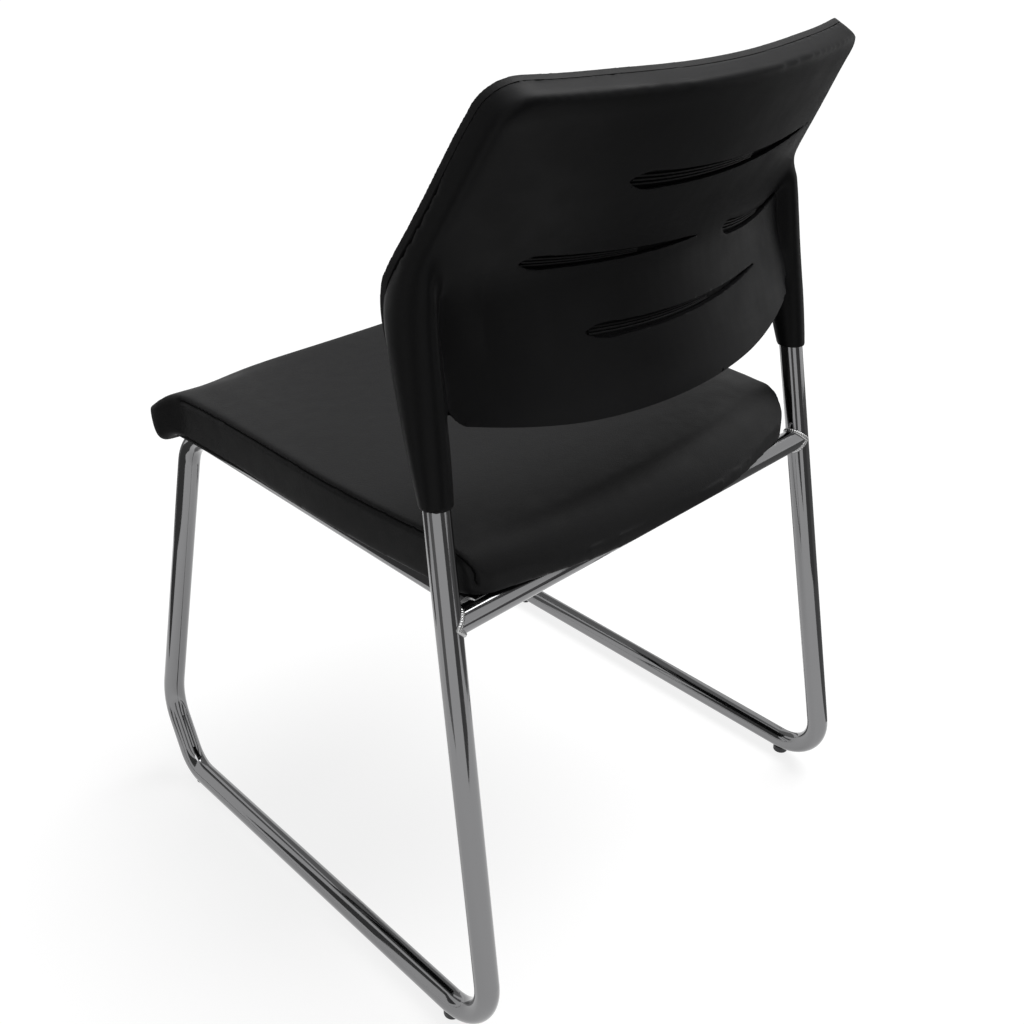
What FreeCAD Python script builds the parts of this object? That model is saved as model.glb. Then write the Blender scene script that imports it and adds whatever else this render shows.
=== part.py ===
"""Sled-base visitor chair: chromed tube frame, upholstered seat, moulded back with a thin pad.

Millimetres, Z up, floor at Z = 0. The sitter faces -Y and the sitter's left is +X.
Y = 0 and X = 0 are the middle of the whole chair's outer box.
"""
import FreeCAD
import Part
import math
import os

V = FreeCAD.Vector

# Frame tube
TUBE_D = 22.0          # outer diameter of every frame tube
TUBE_WALL = 1.5
GLIDE_H = 5.0          # the glides lift the runners this far off the floor
REAR_Y = 268.4         # where the runner and the upright would meet, on their axes
RUN_HALF = 254.0       # half spacing of the two runners, axis to axis
RUN_LEN = 535.0        # runner length between its two axis corners
UP_LEAN_X = -0.051     # inward lean of the upright, mm per mm of height
UP_LEAN_Y = -0.176     # forward lean of the upright
UP_TOP_Z = 630.0       # end of the tube, inside the back's sleeve
LEG_CUT_Y = 56.0       # the front lower corner is cut off by two bends:
LEG_CUT_Z = 62.0       # this far back along the runner and this far up the leg
RAIL_X_FRONT = 196.0
RAIL_X_REAR = 199.0
RAIL_Z = 405.0         # axis of the seat rails and of both cross tubes
RAIL_FRONT_Y = 502.0   # leg top, ahead of REAR_Y
FRONT_CROSS_Y = 436.0  # front cross tube, ahead of REAR_Y
BEND_REAR = 46.0       # bend radii on the tube axis
BEND_RUN = 42.0
BEND_LEG = 60.0
BEND_TOP = 38.0
WELD = 2.6             # how far a weld bead reaches out from the tubes

# Glides
GLIDE_D = {"front": 11.0, "rear": 16.0}   # no front foot shows in the photo, so those are small buttons
GLIDE_STEM_D = 6.0
GLIDE_STEM_L = 8.0
GLIDE_REAR = 52.0      # from the rear corner forward along the runner
GLIDE_FRONT = 470.0

# Seat
SEAT_Z0 = 418.0        # underside of the board
SEAT_TOP = 463.0
SEAT_FRONT = 510.0     # front edge ahead of REAR_Y, at mid width
SEAT_BACK = 38.0       # rear edge ahead of REAR_Y, at mid width
SEAT_BOW_FRONT = 1.0   # the front edge's bow over its half width
SEAT_BOW_BACK = 30.0
SEAT_HALF_FRONT = 235.0
SEAT_HALF_MID = 226.0
SEAT_HALF_BACK = 211.0
SEAT_R_FRONT = 10.0
SEAT_R_BACK = 30.0
SEAT_ROUND = 5.0       # rounding of the top edge along the sides
NOSE_L = 44.0          # the front edge rolls over this far back and this far down
NOSE_H = 31.0
ROLL_L = 42.0          # the rear edge rolls over this far forward and this far down
ROLL_H = 32.0
ROLL_PLAN_R = 760.0    # plan radius of the rear edge
COVER_T = 1.5
BOARD_T = 12.0
BOARD_INSET = 16.0
SCREW_X = 172.0        # seat screws, either side
SCREW_YS = (370.0, 140.0)
BRACKET_L = 40.0
BRACKET_T = 3.0
SPACER_T = 2.0

# Back, as horizontal sections: height and the rear face's Y at mid width (ahead of REAR_Y negative)
BACK_PROFILE = (
    (530.0, -37.0), (560.0, -46.5), (590.0, -58.5), (620.0, -68.5), (645.0, -72.0),
    (670.0, -67.0), (700.0, -53.0), (740.0, -33.0), (780.0, -13.5), (825.0, 7.5))
BACK_CURVE = 0.00082   # the back's hollow: Y falls by this times X squared
BACK_SHEAR = 0.466     # edges of the back run forward and up at this slope
SHELL_T = 5.0          # depths are measured forward along Y from the shell's rear face
LIP_D = 21.0           # the shell's rim reaches this far forward round the pad
LIP_T = 4.0
BACK_BOARD_T = 3.0
PAD_T = 28.0
FIT = 0.3
SHELL_TOP = 801.0      # on the rear face
TOP_RISE = 4.0         # the top edge rises this far to its corners
TOP_HALF = 204.0
TOP_R = 32.0
WAIST_Z = 695.0
WAIST_HALF = 222.0
LOW_Z = 655.0
LOW_HALF = 229.0
SHELL_LOW_HALF = 208.0
SHELL_LOW_SIDE = 562.5
SHELL_LOW_MID = 546.5
PAD_LOW_Z = 587.0

# Sleeves over the uprights: height, half size in X and in Y, X and Y shift from the tube's axis
SLEEVE = (
    (503.5, 13.4, 13.6, 0.0, 0.0), (510.0, 13.8, 14.3, 0.0, -0.3), (560.0, 15.4, 19.5, 0.0, -3.5),
    (590.0, 15.4, 22.0, 0.0, -5.5), (637.0, 15.2, 24.5, 0.0, -6.5), (694.0, 7.5, 8.0, -10.0, 13.0))
SLEEVE_WALL = 4.0      # round the tube where the pad lies against the sleeve
SLEEVE_GAP = 0.2
SLEEVE_SCREW_Z = 530.0
SLEEVE_SCREW_OUT = 16.5    # screw head's outer face, ahead of the tube's axis
SLEEVE_SCREW_SEAT = 13.0   # where its head sits

# Clips that hold the pad's board to the shell: X and height, on both sides
CLIPS = ((150.0, 770.0), (165.0, 690.0), (150.0, 612.0))
CLIP_R = 3.0
CLIP_IN = 2.6          # depth of the clip's root below the rear face
CLIP_L = 7.6

# Slots in the shell: left end X and Z, right end X and Z, thickness, sag of the lower edge
SLOTS = (
    ((75.0, 727.0), (-187.0, 725.0), 14.0, 9.0),
    ((147.0, 672.0), (-49.0, 654.0), 10.5, 3.0),
    ((-90.0, 650.0), (-208.0, 653.0), 12.0, 5.0),
    ((88.0, 606.0), (-154.0, 606.0), 11.0, 7.0))

R = TUBE_D / 2
RUN_Z = GLIDE_H + R
NODES = {}


def at(x, ahead, z):
    """A point given by how far it lies ahead of the runner's rear corner."""
    return V(x, REAR_Y - ahead, z)


def up_axis(z, side=1):
    h = z - RUN_Z
    return V(side * (RUN_HALF + UP_LEAN_X * h), REAR_Y + UP_LEAN_Y * h, z)


def mirrored(shape):
    return shape.mirror(V(0, 0, 0), V(1, 0, 0))


def cyl(r, a, b):
    d = b.sub(a)
    return Part.makeCylinder(r, d.Length, a, d)


def corner(prev, point, after, radius):
    """Tangent points and middle of the arc that rounds one corner."""
    a = prev.sub(point).normalize()
    b = after.sub(point).normalize()
    half = a.getAngle(b) / 2
    cut = radius / math.tan(half)
    p = point.add(V(a).multiply(cut))
    q = point.add(V(b).multiply(cut))
    bis = a.add(b).normalize()
    centre = point.add(V(bis).multiply(radius / math.sin(half)))
    mid = centre.sub(V(bis).multiply(radius))
    return p, mid, q


def bent_path(points, radii):
    """Open wire of straights and arcs; radii are for the inner points."""
    edges = []
    start = points[0]
    for i in range(1, len(points) - 1):
        p, mid, q = corner(points[i - 1], points[i], points[i + 1], radii[i - 1])
        edges.append(Part.makeLine(start, p))
        edges.append(Part.Arc(p, mid, q).toShape())
        start = q
    edges.append(Part.makeLine(start, points[-1]))
    return Part.Wire(edges)


def rounded_loop(points, radii):
    """Closed wire with every corner rounded; radius 0 leaves it sharp."""
    n = len(points)
    bits = []
    for i in range(n):
        if radii[i] > 0:
            bits.append(corner(points[i - 1], points[i], points[(i + 1) % n], radii[i]))
        else:
            bits.append((points[i], None, points[i]))
    edges = []
    for i in range(n):
        p, mid, q = bits[i]
        if mid is not None:
            edges.append(Part.Arc(p, mid, q).toShape())
        nxt = bits[(i + 1) % n][0]
        if q.distanceToPoint(nxt) > 1e-6:
            edges.append(Part.makeLine(q, nxt))
    return Part.Wire(edges)


def sweep(path, radius):
    first = path.Edges[0]
    p = first.valueAt(first.FirstParameter)
    d = first.tangentAt(first.FirstParameter)
    ring = Part.Wire([Part.makeCircle(radius, p, d)])
    return path.makePipeShell([ring], True, True)


def side_path():
    """Axis of the left side tube, from the top of the upright to the rear cross tube."""
    leg_foot = at(RUN_HALF, RUN_LEN, RUN_Z)
    leg_top = at(RAIL_X_FRONT, RAIL_FRONT_Y, RAIL_Z)
    leg = leg_top.sub(leg_foot)
    cut_low = at(RUN_HALF, RUN_LEN - LEG_CUT_Y, RUN_Z)
    cut_high = leg_foot.add(V(leg).multiply(LEG_CUT_Z / leg.z))
    cross = up_axis(RAIL_Z)
    rail_end = V(RAIL_X_REAR, cross.y, RAIL_Z)
    points = [up_axis(UP_TOP_Z), up_axis(RUN_Z), cut_low, cut_high, leg_top, rail_end]
    return bent_path(points, [BEND_REAR, BEND_RUN, BEND_LEG, BEND_TOP])


def glide_spots():
    for end, ahead in (("front", GLIDE_FRONT), ("rear", GLIDE_REAR)):
        yield end, at(RUN_HALF, ahead, 0)


def make_frame():
    path = side_path()
    outer = sweep(path, R)
    inner = sweep(path, R - TUBE_WALL)
    a = up_axis(RAIL_Z)
    b = up_axis(RAIL_Z, -1)
    cross_full = cyl(R, b, a)
    tube = outer.cut(inner).cut(cross_full)
    for end, spot in glide_spots():
        hole = cyl(GLIDE_STEM_D / 2 + 0.05, V(spot.x, spot.y, RUN_Z - R - 2), V(spot.x, spot.y, RUN_Z))
        tube = tube.cut(hole)
    NODES["left_side_tube"] = tube
    NODES["right_side_tube"] = mirrored(tube)

    uprights = cyl(R, up_axis(300), up_axis(500))
    uprights_r = mirrored(uprights)
    cross = cyl(R, b, a).cut(cyl(R - TUBE_WALL, b, a)).cut(uprights).cut(uprights_r)
    NODES["rear_cross_tube"] = max(cross.Solids, key=lambda s: s.Volume)

    t = FRONT_CROSS_Y / RAIL_FRONT_Y
    rail_x = RAIL_X_REAR + (RAIL_X_FRONT - RAIL_X_REAR) * t
    fa = at(rail_x, FRONT_CROSS_Y, RAIL_Z)
    fb = at(-rail_x, FRONT_CROSS_Y, RAIL_Z)
    rail = cyl(R, at(RAIL_X_FRONT, RAIL_FRONT_Y, RAIL_Z), V(RAIL_X_REAR, a.y, RAIL_Z))
    rail_r = mirrored(rail)
    front = cyl(R, fb, fa).cut(cyl(R - TUBE_WALL, fb, fa)).cut(rail).cut(rail_r)
    NODES["front_cross_tube"] = max(front.Solids, key=lambda s: s.Volume)

    grow = R + WELD
    wide = grow + 0.4
    bead = cyl(grow, V(0, a.y, RAIL_Z), a).common(cyl(wide, up_axis(360), up_axis(450)))
    bead = bead.cut(uprights).cut(cyl(R, V(0, a.y, RAIL_Z), a)).cut(outer)
    rail_bead = cyl(grow, at(RAIL_X_FRONT, 200, RAIL_Z), V(RAIL_X_REAR, a.y, RAIL_Z))
    rail_bead = rail_bead.common(cyl(wide, V(140, a.y, RAIL_Z), V(228, a.y, RAIL_Z)))
    rail_bead = rail_bead.cut(outer).cut(cross_full)
    front_bead = cyl(grow, V(0, fa.y, RAIL_Z), fa).common(
        cyl(wide, V(rail_x, fa.y - 40, RAIL_Z), V(rail_x, fa.y + 40, RAIL_Z)))
    front_bead = front_bead.cut(outer).cut(cyl(R, fb, fa))
    above = Part.makeBox(700, 900, 20, V(-350, -450, RAIL_Z + R + 0.5))
    for name, one in (("rear_cross_welds", bead), ("rail_end_welds", rail_bead.cut(above)),
                      ("front_cross_welds", front_bead.cut(above))):
        NODES[name] = Part.makeCompound(one.Solids + mirrored(one).Solids)

    z1 = RAIL_Z + R
    welds = []
    for end, ahead in zip(("front", "rear"), SCREW_YS):
        y = REAR_Y - ahead
        plate = Part.makeBox(RAIL_X_FRONT - SCREW_X + 12, BRACKET_L, BRACKET_T,
                             V(SCREW_X - 12, y - BRACKET_L / 2, z1 - BRACKET_T))
        plate = plate.cut(outer)
        plate = max(plate.Solids, key=lambda s: s.CenterOfMass.x * -1)
        hole = cyl(3.3, V(SCREW_X, y, z1 - 10), V(SCREW_X, y, z1 + 10))
        plate = plate.cut(hole)
        NODES["seat_bracket_%s_left" % end] = plate
        NODES["seat_bracket_%s_right" % end] = mirrored(plate)
        line = cyl(2.4, V(187.6, y - 14, z1 - BRACKET_T), V(187.6, y + 14, z1 - BRACKET_T))
        line = line.cut(outer).cut(plate)
        best = min(line.Solids, key=lambda s: s.CenterOfMass.z)
        welds += [best, mirrored(best)]
    NODES["bracket_welds"] = Part.makeCompound(welds)

    cap = up_axis(UP_TOP_Z + 2.5)
    top = up_axis(UP_TOP_Z)
    low = up_axis(UP_TOP_Z - 14)
    plug = cyl(R - 0.3, top, cap).fuse(cyl(R - TUBE_WALL, low, top)).cut(outer.cut(inner)).removeSplitter()
    NODES["upright_plug_left"] = plug
    NODES["upright_plug_right"] = mirrored(plug)


def make_glides():
    for end, spot in glide_spots():
        disc = cyl(GLIDE_D[end] / 2, spot, V(spot.x, spot.y, GLIDE_H + 2))
        disc = disc.makeFillet(1.2, [e for e in disc.Edges if e.BoundBox.ZMax < 0.1])
        run = cyl(R, at(RUN_HALF, 0, RUN_Z), at(RUN_HALF, RUN_LEN, RUN_Z))
        disc = disc.cut(run)
        stem = cyl(GLIDE_STEM_D / 2, V(spot.x, spot.y, 1), V(spot.x, spot.y, GLIDE_H + GLIDE_STEM_L))
        glide = disc.fuse(stem).removeSplitter()
        NODES["glide_%s_left" % end] = glide
        NODES["glide_%s_right" % end] = mirrored(glide)


def seat_loop(inset, z):
    """Plan outline of the seat, moved in by inset, as a wire at height z."""
    hf = SEAT_HALF_FRONT - inset
    hm = SEAT_HALF_MID - inset
    hb = SEAT_HALF_BACK - inset
    yf = SEAT_FRONT - inset
    yb = SEAT_BACK + inset
    half = [(85.0, yb, 320.0), (hb, yb + SEAT_BOW_BACK, SEAT_R_BACK), (hm, 250.0, 1200.0),
            (hf, yf - SEAT_BOW_FRONT, SEAT_R_FRONT), (110.0, yf, 900.0)]
    loop = half + [(-x, y, r) for x, y, r in reversed(half)]
    return rounded_loop([at(x, y, z) for x, y, r in loop], [r for x, y, r in loop])


def slab(inset, z0, z1):
    return Part.Face(seat_loop(inset, z0)).extrude(V(0, 0, z1 - z0))


def top_edges(shape, z):
    return [e for e in shape.Edges if e.BoundBox.ZMin > z - 0.01]


def screw_spots():
    for ahead in SCREW_YS:
        for side in (1, -1):
            yield V(side * SCREW_X, REAR_Y - ahead, 0)


def nose_cut(inset):
    """What the rolled front edge takes off a seat slab, as a bar across the whole width."""
    x = -300.0
    front = SEAT_FRONT - inset
    top = SEAT_TOP - inset
    a = NOSE_L - inset
    b = NOSE_H - inset
    mid = at(x, front - a + a * math.cos(math.pi / 4), top - b + b * math.sin(math.pi / 4))
    roll = Part.Arc(at(x, front, top - b), mid, at(x, front - a, top)).toShape()
    far = [at(x, front - a, top), at(x, front - a, top + 30), at(x, front + 30, top + 30),
           at(x, front + 30, top - b), at(x, front, top - b)]
    edges = [Part.makeLine(p, q) for p, q in zip(far, far[1:])]
    return Part.Face(Part.Wire([roll] + edges)).extrude(V(600, 0, 0))


def rear_roll_cut(inset):
    """What the rolled rear edge takes off a seat slab, turned about the centre of the edge's plan curve."""
    back = SEAT_BACK + inset
    top = SEAT_TOP - inset
    a = ROLL_L - inset
    b = ROLL_H - inset
    mid = at(0, back + a - a * math.cos(math.pi / 4), top - b + b * math.sin(math.pi / 4))
    roll = Part.Arc(at(0, back, top - b), mid, at(0, back + a, top)).toShape()
    far = [at(0, back + a, top), at(0, back + a, top + 30), at(0, back - 30, top + 30),
           at(0, back - 30, top - b), at(0, back, top - b)]
    edges = [Part.makeLine(p, q) for p, q in zip(far, far[1:])]
    face = Part.Face(Part.Wire([roll] + edges))
    centre = at(0, back + ROLL_PLAN_R - inset, 0)
    face.rotate(centre, V(0, 0, 1), -25)
    return face.revolve(centre, V(0, 0, 1), 50)


def cushion(inset):
    body = slab(inset, SEAT_Z0, SEAT_TOP - inset)
    body = body.makeFillet(SEAT_ROUND - inset, top_edges(body, SEAT_TOP - inset))
    return body.cut(nose_cut(inset)).cut(rear_roll_cut(inset))


def make_seat():
    outer = cushion(0.0)
    inner = cushion(COVER_T)
    board = slab(BOARD_INSET, SEAT_Z0, SEAT_Z0 + BOARD_T)
    cloth = slab(BOARD_INSET - 6, SEAT_Z0 - 1, SEAT_Z0)
    foam = inner.cut(board)
    nuts = []
    screws = []
    spacers = []
    for p in screw_spots():
        spot = lambda z: V(p.x, p.y, z)
        nut = cyl(4.0, spot(SEAT_Z0 + 1), spot(SEAT_Z0 + BOARD_T))
        nut = nut.fuse(cyl(9.5, spot(SEAT_Z0 + BOARD_T), spot(SEAT_Z0 + BOARD_T + 1.2)))
        nut = nut.removeSplitter()
        bore = cyl(3.0, spot(SEAT_Z0 - 20), spot(SEAT_Z0 + BOARD_T + 0.6))
        board = board.cut(cyl(4.0, spot(SEAT_Z0 - 1), spot(SEAT_Z0 + BOARD_T + 1)))
        foam = foam.cut(nut)
        nuts.append(nut.cut(bore))
        z1 = SEAT_Z0 - SPACER_T - BRACKET_T
        head = cyl(5.5, spot(z1 - 4.2), spot(z1))
        head = head.makeFillet(1.5, [e for e in head.Edges if e.BoundBox.ZMax < z1 - 4])
        head = head.cut(Part.makeBox(1.6, 7, 2, V(p.x - 0.8, p.y - 3.5, z1 - 5)))
        head = head.cut(Part.makeBox(7, 1.6, 2, V(p.x - 3.5, p.y - 0.8, z1 - 5)))
        screws.append(head.fuse(cyl(2.9, spot(z1), spot(SEAT_Z0 + BOARD_T))).removeSplitter())
        ring = cyl(9.0, spot(SEAT_Z0 - SPACER_T), spot(SEAT_Z0))
        cloth = cloth.cut(ring)
        spacers.append(ring.cut(bore.copy()))
    NODES["seat_board"] = board
    NODES["seat_foam"] = foam
    NODES["seat_cover"] = outer.cut(inner)
    NODES["seat_bottom_cloth"] = cloth
    NODES["seat_spacers"] = Part.makeCompound(spacers)
    NODES["seat_tee_nuts"] = Part.makeCompound(nuts)
    NODES["seat_screws"] = Part.makeCompound(screws)


def crescent(t0, t1, half=245.0):
    """Curved slab between two depths ahead of the back's rear face."""
    drop = BACK_CURVE * half * half
    wires = []
    for z, yc in BACK_PROFILE:
        y0 = REAR_Y + yc - t0
        y1 = REAR_Y + yc - t1
        rear = Part.Arc(V(-half, y0 - drop, z), V(0, y0, z), V(half, y0 - drop, z)).toShape()
        right = Part.makeLine(V(half, y0 - drop, z), V(half, y1 - drop, z))
        front = Part.Arc(V(half, y1 - drop, z), V(0, y1, z), V(-half, y1 - drop, z)).toShape()
        left = Part.makeLine(V(-half, y1 - drop, z), V(-half, y0 - drop, z))
        wires.append(Part.Wire([rear, right, front, left]))
    return Part.makeLoft(wires, True, False)


def rear_y(x, z):
    """Y of the back's rear face, straight between the profile's points."""
    for (za, ya), (zb, yb) in zip(BACK_PROFILE, BACK_PROFILE[1:]):
        if z <= zb:
            break
    return REAR_Y + ya + (yb - ya) * (z - za) / (zb - za) - BACK_CURVE * x * x


def back_prism(points, radii):
    """Outline on the rear face, right half from the top down, pushed forward and up along the slope."""
    half = []
    for x, z in points:
        half.append(V(x, 0, z - BACK_SHEAR * (REAR_Y - rear_y(x, z))))
    left = [V(-p.x, 0, p.z) for p in half]
    loop = rounded_loop(list(reversed(half)) + left, list(reversed(radii)) + list(radii))
    push = V(0, -1, BACK_SHEAR)
    loop.translate(V(0, REAR_Y, 0).sub(V(push).multiply(100)))
    return Part.Face(loop).extrude(V(push).multiply(420))


def top_points(inset):
    return [(100.0, SHELL_TOP - inset), (TOP_HALF - inset, SHELL_TOP + TOP_RISE - inset),
            (WAIST_HALF - inset, WAIST_Z), (LOW_HALF - inset, LOW_Z)]


def top_radii(inset):
    return [700.0, TOP_R - inset, 60.0, 30.0]


def shell_outline():
    low = [(LOW_HALF, 612.0), (SHELL_LOW_HALF, SHELL_LOW_SIDE), (SHELL_LOW_HALF / 2, SHELL_LOW_MID)]
    return back_prism(top_points(0) + low, top_radii(0) + [25.0, 10.0, 1290.0])


def cavity_outline():
    low = [(LOW_HALF - LIP_T, 532.0)]
    return back_prism(top_points(LIP_T) + low, top_radii(LIP_T) + [0])


def pad_outline(inset):
    low = [(LOW_HALF - 1 - inset, PAD_LOW_Z + inset)]
    return back_prism(top_points(inset) + low, top_radii(inset) + [8.0])


def sleeve():
    """Left sleeve as a full solid."""
    rings = []
    for z, rx, ry, dx, dy in SLEEVE:
        c = up_axis(z).add(V(dx, dy, 0))
        ring = Part.makeCircle(1.0, V(0, 0, 0), V(0, 0, 1)).toNurbs()
        m = FreeCAD.Matrix()
        m.scale(rx, ry, 1.0)
        ring = ring.transformGeometry(m)
        ring.translate(c)
        rings.append(Part.Wire(ring.Edges))
    return Part.makeLoft(rings, True, False)


def slot_cutter(a, b, thick, sag):
    """Leaf shape: blunt at the first end, pointed at the second, both edges hanging down between."""
    ax, az = a
    bx, bz = b
    n = 12
    upper = []
    lower = []
    for i in range(n + 1):
        t = i / n
        x = ax + (bx - ax) * t
        z = az + (bz - az) * t - sag * 4 * t * (1 - t)
        body = min(1.0, (t / 0.06) ** 0.5) * (1 - t) ** 0.6 if t > 0 else 0.0
        half = thick / 2 * body * 1.12
        upper.append(V(x, 0, z + half))
        lower.append(V(x, 0, z - half))
    curve_a = Part.BSplineCurve()
    curve_a.interpolate(upper)
    curve_b = Part.BSplineCurve()
    curve_b.interpolate(list(reversed(lower)))
    face = Part.Face(Part.Wire([curve_a.toShape(), curve_b.toShape()]))
    face.translate(V(0, REAR_Y - 300, 0))
    return face.extrude(V(0, 600, 0))


def make_back():
    wall = cyl(R + SLEEVE_WALL, up_axis(510), up_axis(UP_TOP_Z + 8))
    room = crescent(SHELL_T, LIP_D + FIT).common(pad_outline(LIP_T))
    room = room.fuse(crescent(LIP_D, PAD_T + 45).common(pad_outline(-FIT))).cut(wall)
    sleeve_l = sleeve().cut(room)
    sleeve_l = max(sleeve_l.Solids, key=lambda s: s.Volume)
    shell = crescent(0, LIP_D).common(shell_outline())
    shell = shell.cut(crescent(SHELL_T, LIP_D + 30).common(cavity_outline()))
    for spec in SLOTS:
        shell = shell.cut(slot_cutter(*spec))
    shell = shell.fuse(sleeve_l).fuse(mirrored(sleeve_l))
    bore = cyl(R + SLEEVE_GAP, up_axis(480), up_axis(UP_TOP_Z + 3))
    shell = shell.cut(bore).cut(mirrored(bore))

    clear_l = cyl(R + SLEEVE_WALL + FIT, up_axis(510), up_axis(UP_TOP_Z + 8 + FIT))
    clear_r = mirrored(clear_l)
    inside = pad_outline(LIP_T + FIT + COVER_T)
    board = crescent(SHELL_T + FIT, SHELL_T + FIT + BACK_BOARD_T).common(inside)
    core = crescent(SHELL_T + FIT + BACK_BOARD_T, PAD_T - COVER_T).common(inside)
    pad = crescent(SHELL_T + FIT, LIP_D + FIT).common(pad_outline(LIP_T + FIT))
    pad = pad.fuse(crescent(LIP_D + FIT, PAD_T).common(pad_outline(0)))
    cover = pad.cut(crescent(SHELL_T, PAD_T - COVER_T).common(inside))

    clips = []
    for x, z in CLIPS:
        for side in (1, -1):
            y0 = rear_y(x, z) - CLIP_IN
            pin = cyl(CLIP_R, V(side * x, y0 - CLIP_L, z), V(side * x, y0, z))
            shell = shell.cut(pin)
            board = board.cut(pin)
            core = core.cut(pin)
            clips.append(pin)

    screws = []
    for side in (1, -1):
        p = up_axis(SLEEVE_SCREW_Z, side)
        seat = V(p.x, p.y - SLEEVE_SCREW_SEAT, p.z)
        head = cyl(4.5, V(p.x, p.y - SLEEVE_SCREW_OUT, p.z), seat)
        pin = head.fuse(cyl(2.0, V(p.x, seat.y - 0.5, p.z), V(p.x, p.y - R + 4.0, p.z))).removeSplitter()
        well = cyl(4.7, V(p.x, p.y - 40, p.z), seat)
        shell = shell.cut(well).cut(pin)
        key = "left_side_tube" if side > 0 else "right_side_tube"
        NODES[key] = NODES[key].cut(pin)
        screws.append(pin)
    NODES["backrest_shell"] = max(shell.Solids, key=lambda s: s.Volume)
    NODES["backrest_board"] = board.cut(clear_l).cut(clear_r)
    NODES["backrest_foam"] = core.cut(clear_l).cut(clear_r)
    NODES["backrest_cover"] = cover.cut(clear_l).cut(clear_r)
    NODES["backrest_clips"] = Part.makeCompound(clips)
    NODES["sleeve_screws"] = Part.makeCompound(screws)


def main():
    os.makedirs("parts", exist_ok=True)
    make_frame()
    make_glides()
    make_seat()
    make_back()
    for name, shape in NODES.items():
        shape.exportStep("parts/%s.step" % name)


main()
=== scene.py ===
import math

import bmesh
import bpy
import numpy as np
from bpy.props import FloatProperty, FloatVectorProperty, IntProperty, PointerProperty
from mathutils import Matrix, Vector
from mathutils.bvhtree import BVHTree
from mathutils.kdtree import KDTree


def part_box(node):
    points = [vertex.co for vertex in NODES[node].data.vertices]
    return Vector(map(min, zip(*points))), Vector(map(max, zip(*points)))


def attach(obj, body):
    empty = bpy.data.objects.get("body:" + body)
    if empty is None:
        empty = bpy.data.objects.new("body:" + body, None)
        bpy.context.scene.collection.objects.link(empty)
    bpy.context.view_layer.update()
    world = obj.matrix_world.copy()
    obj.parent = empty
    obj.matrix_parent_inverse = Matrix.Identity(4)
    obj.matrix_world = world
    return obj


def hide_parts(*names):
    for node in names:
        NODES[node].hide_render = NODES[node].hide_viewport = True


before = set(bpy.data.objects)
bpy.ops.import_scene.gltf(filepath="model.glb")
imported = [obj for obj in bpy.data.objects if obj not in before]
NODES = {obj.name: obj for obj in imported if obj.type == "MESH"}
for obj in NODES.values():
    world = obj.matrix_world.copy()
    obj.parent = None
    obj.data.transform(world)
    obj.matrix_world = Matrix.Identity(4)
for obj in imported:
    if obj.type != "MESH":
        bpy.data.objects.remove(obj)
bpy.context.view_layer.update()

bl_info = {
    "name": "Sled-base visitor chair",
    "version": (1, 0, 0),
    "blender": (4, 5, 0),
    "location": "View3D > Sidebar > Chair",
    "description": "Dresses the packed chair: chrome, upholstery, moulded back, seams and studio",
    "category": "Object",
}

BODY = "root"

# Tube layout of the frame, in metres, as the solids have it
TUBE_R = 0.011
RAIL_Z = 0.405
RUNNER_Z = 0.016
UPRIGHT_FOOT = Vector((0.254, 0.2684, RUNNER_Z))
UPRIGHT_LEAN = Vector((-0.051, -0.176, 1.0))

# Slots of the back, in metres: blunt end (x, z), pointed end (x, z), thickness, sag
SLOT_LINES = (
    ((0.075, 0.727), (-0.187, 0.725), 0.014, 0.009),
    ((0.147, 0.672), (-0.049, 0.654), 0.0105, 0.003),
    ((-0.090, 0.650), (-0.208, 0.653), 0.012, 0.005),
    ((0.088, 0.606), (-0.154, 0.606), 0.011, 0.007))

# How fast a slot gets thinner towards its pointed end
SLOT_TAPER = 0.6

# Ribs of a slot: stretch as shares of its length, places as shares of its half thickness, height over board
RIB_START = 0.012
RIB_END = 0.62
RIB_OFFSETS = (-0.5, 0.0, 0.5)
RIB_LIFT = 0.0012
RIB_STEPS = 40

# Where the shell's sharp edges are looked for: along its upper rim, and along its bottom between the sleeves
CREASE_ANGLE = math.radians(35.0)
CREASE_REAR = 0.7
CREASE_TOP_Z = 0.775
CREASE_SIDE_X = 0.195
CREASE_LOW_Z = 0.672
CREASE_BOTTOM_Z = 0.572
CREASE_STEP = 0.0005

# Ranges over which the filled joint between a sleeve and the panel fades in, and the rounds that shape it
JOINT_X = (0.172, 0.186)
JOINT_LOW_Z = (0.556, 0.574)
JOINT_TOP_Z = (0.752, 0.730)
JOINT_FACING = (-0.1, 0.15)
JOINT_FILL = 450
JOINT_EASE = 10

# Rounds that ease the shell's upper rim, and the share of their reach that gets them in full
RIM_EASE = 70
RIM_CORE = 0.45

# Vertices this close count as one, and weights up to this one count as none
WELD = 1e-5
WEIGHT_MIN = 0.01

# How far solids are swollen before they join a piece, and the share of its skin's grid that a piece fills
MERGE_SWELL = 0.0006
SKIN_SCALE = 0.91

# Cores that fill the sleeves' bores, and how far above the sleeves' ends they start
BORE_R = 0.0122
BORE_L = 0.115
BORE_GAP = 0.0001

# Where rays that look for a surface start: behind the back or above the seat, and beside the seat
RAY_START = 0.6
RAY_SIDE = 0.4

# Where the seat's side seams end, the height its side walls are looked for at, and how the seams are traced
SEAM_REAR_X = 0.203
SEAM_FRONT_Y = -0.200
SEAM_CORNER_Y = 0.15
SEAT_MID_Z = 0.432
SEAM_STEP = 0.003
SEAM_INSET = 0.010
SEAM_TAIL = 0.006
SEAM_EASE = 14

# Share of its radius by which the thread's middle lies above the cover
THREAD_LIFT = 0.4

# Share of the front lip's depth over which its droop grows
NOSE_GROWTH = 0.7

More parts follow.
